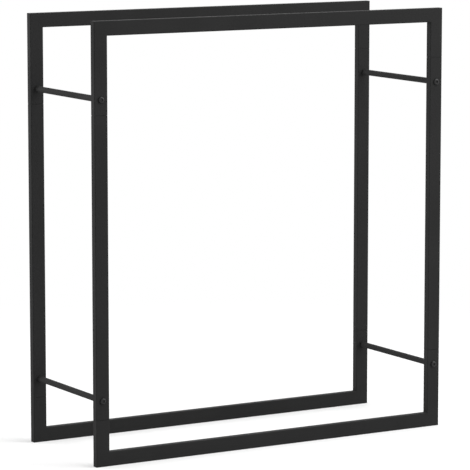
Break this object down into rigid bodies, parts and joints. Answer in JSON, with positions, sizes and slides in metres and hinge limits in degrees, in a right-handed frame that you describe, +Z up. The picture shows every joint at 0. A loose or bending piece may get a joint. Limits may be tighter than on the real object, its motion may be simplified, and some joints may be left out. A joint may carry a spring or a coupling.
{
  "type": "firewood log rack",
  "caption": "Open free-standing firewood rack: flat steel-tube frames front and rear, tied by round cross rods that button-head screws hold, in matt black powder coat.",
  "frame": {"origin": "on the floor, under the middle of the rack", "axes": "+Z up, +X to the right along the frames seen from the front, +Y from the front frame to the rear frame"},
  "size_m": [0.8, 0.2906, 0.864],
  "materials": {
    "frame_coat": "fine matt black powder coat",
    "rod_coat": "fine matt black powder coat",
    "screw_black": "satin black coating",
    "plug_coat": "thin matt black powder coat"
  },
  "bodies": {
    "root": {"front_top_rail": "frame_coat", "front_top_left_leg": "frame_coat", "front_top_left_plug": "plug_coat", "front_top_right_leg": "frame_coat", "front_top_right_plug": "plug_coat", "front_bottom_rail": "frame_coat", "front_bottom_left_leg": "frame_coat", "front_bottom_left_plug": "plug_coat", "front_bottom_right_leg": "frame_coat", "front_bottom_right_plug": "plug_coat", "front_left_post": "frame_coat", "front_right_post": "frame_coat", "rear_top_rail": "frame_coat", "rear_top_left_leg": "frame_coat", "rear_top_left_plug": "plug_coat", "rear_top_right_leg": "frame_coat", "rear_top_right_plug": "plug_coat", "rear_bottom_rail": "frame_coat", "rear_bottom_left_leg": "frame_coat", "rear_bottom_left_plug": "plug_coat", "rear_bottom_right_leg": "frame_coat", "rear_bottom_right_plug": "plug_coat", "rear_left_post": "frame_coat", "rear_right_post": "frame_coat", "upper_left_rod": "rod_coat", "front_upper_left_screw": "screw_black", "rear_upper_left_screw": "screw_black", "upper_right_rod": "rod_coat", "front_upper_right_screw": "screw_black", "rear_upper_right_screw": "screw_black", "lower_left_rod": "rod_coat", "front_lower_left_screw": "screw_black", "rear_lower_left_screw": "screw_black", "lower_right_rod": "rod_coat", "front_lower_right_screw": "screw_black", "rear_lower_right_screw": "screw_black"}
  },
  "joints": []
}
